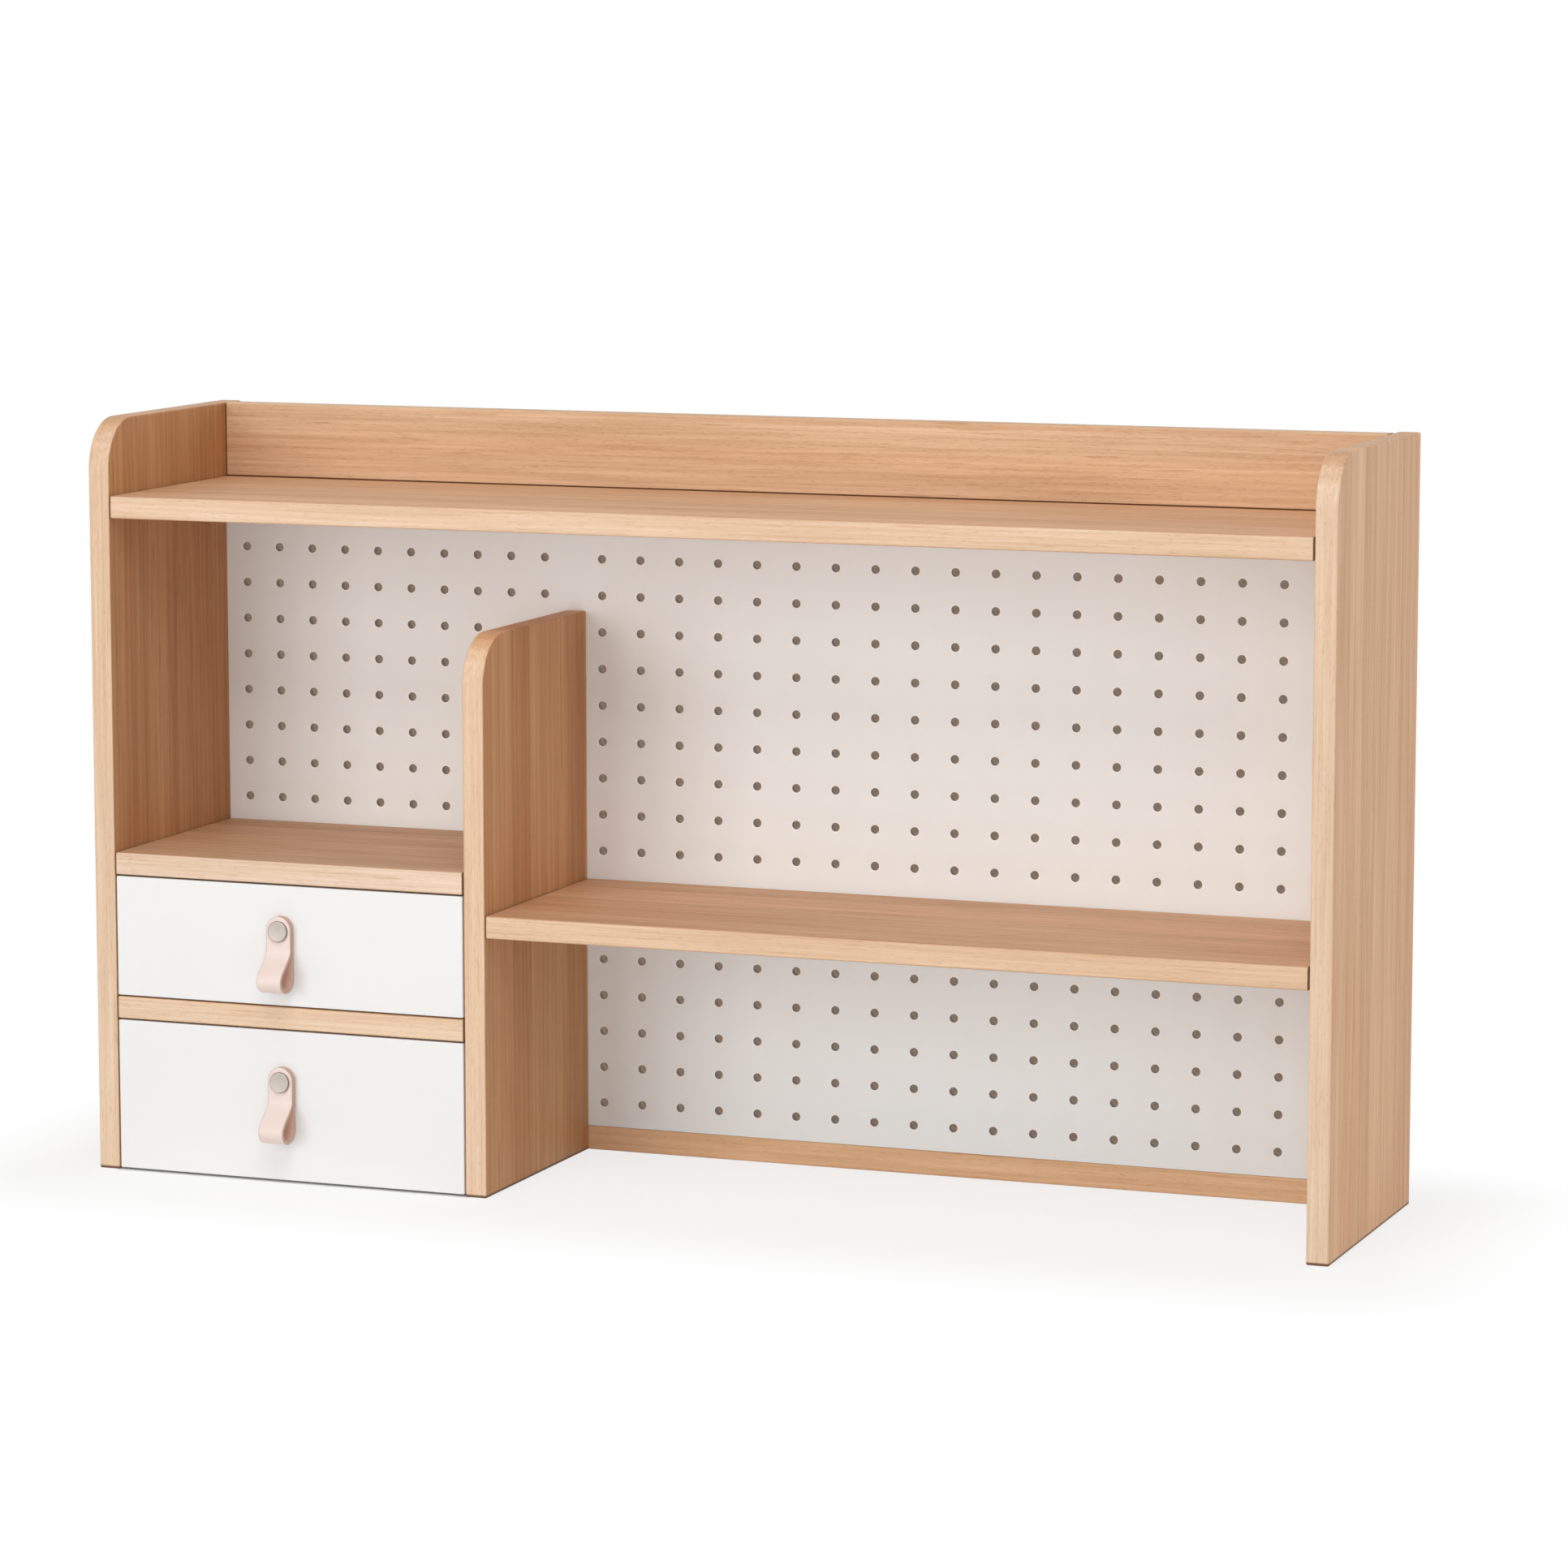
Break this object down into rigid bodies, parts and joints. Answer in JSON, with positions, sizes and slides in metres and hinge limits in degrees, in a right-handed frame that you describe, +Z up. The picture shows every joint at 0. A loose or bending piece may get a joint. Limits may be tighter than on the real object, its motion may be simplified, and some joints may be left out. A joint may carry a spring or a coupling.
{
  "type": "pegboard desk organizer with drawers",
  "caption": "Wooden desk-top shelf unit with a perforated back board, rounded side panels, open shelves and inset white drawers with leather loop pulls.",
  "frame": {"origin": "on the desk, at the middle of the overall footprint, which includes the leather pulls", "axes": "+X along the width from the drawer side to the open side, +Y from the front to the perforated back, +Z up"},
  "size_m": [0.86, 0.221, 0.508],
  "materials": {
    "beech": "straight-grained light wood under a satin clear coat",
    "off_white_hardboard": "matt off-white paint on hardboard",
    "white_lacquer": "satin white lacquer on fibreboard",
    "drawer_box_wood": "pale unfinished wood",
    "drawer_bottom_board": "smooth thin hardboard",
    "dowel_wood": "dry unfinished hardwood",
    "pink_leather": "smooth pale pink leather with raw edges",
    "satin_nickel": "satin nickel plate",
    "zinc_steel": "zinc plate"
  },
  "bodies": {
    "carcass": {"left_side_panel": "beech", "right_side_panel": "beech", "divider_panel": "beech", "top_shelf": "beech", "left_shelf": "beech", "mid_shelf": "beech", "drawer_partition": "beech", "drawer_bay_floor": "beech", "top_back_rail": "beech", "bottom_back_rail": "beech", "pegboard": "off_white_hardboard", "wooden_dowels": "dowel_wood"},
    "upper_drawer": {"upper_drawer_front": "white_lacquer", "upper_drawer_left_side": "drawer_box_wood", "upper_drawer_right_side": "drawer_box_wood", "upper_drawer_back": "drawer_box_wood", "upper_drawer_bottom": "drawer_bottom_board", "upper_drawer_dowels": "dowel_wood", "upper_drawer_strap": "pink_leather", "upper_drawer_pull_bolt": "satin_nickel", "upper_drawer_pull_nut": "zinc_steel"},
    "lower_drawer": {"lower_drawer_front": "white_lacquer", "lower_drawer_left_side": "drawer_box_wood", "lower_drawer_right_side": "drawer_box_wood", "lower_drawer_back": "drawer_box_wood", "lower_drawer_bottom": "drawer_bottom_board", "lower_drawer_dowels": "dowel_wood", "lower_drawer_strap": "pink_leather", "lower_drawer_pull_bolt": "satin_nickel", "lower_drawer_pull_nut": "zinc_steel"}
  },
  "joints": [
    {"name": "upper_drawer_slide", "type": "slide", "parent": "carcass", "child": "upper_drawer", "axis": [0, -1, 0], "range_m": [0, 0.12]},
    {"name": "lower_drawer_slide", "type": "slide", "parent": "carcass", "child": "lower_drawer", "axis": [0, -1, 0], "range_m": [0, 0.12]}
  ]
}
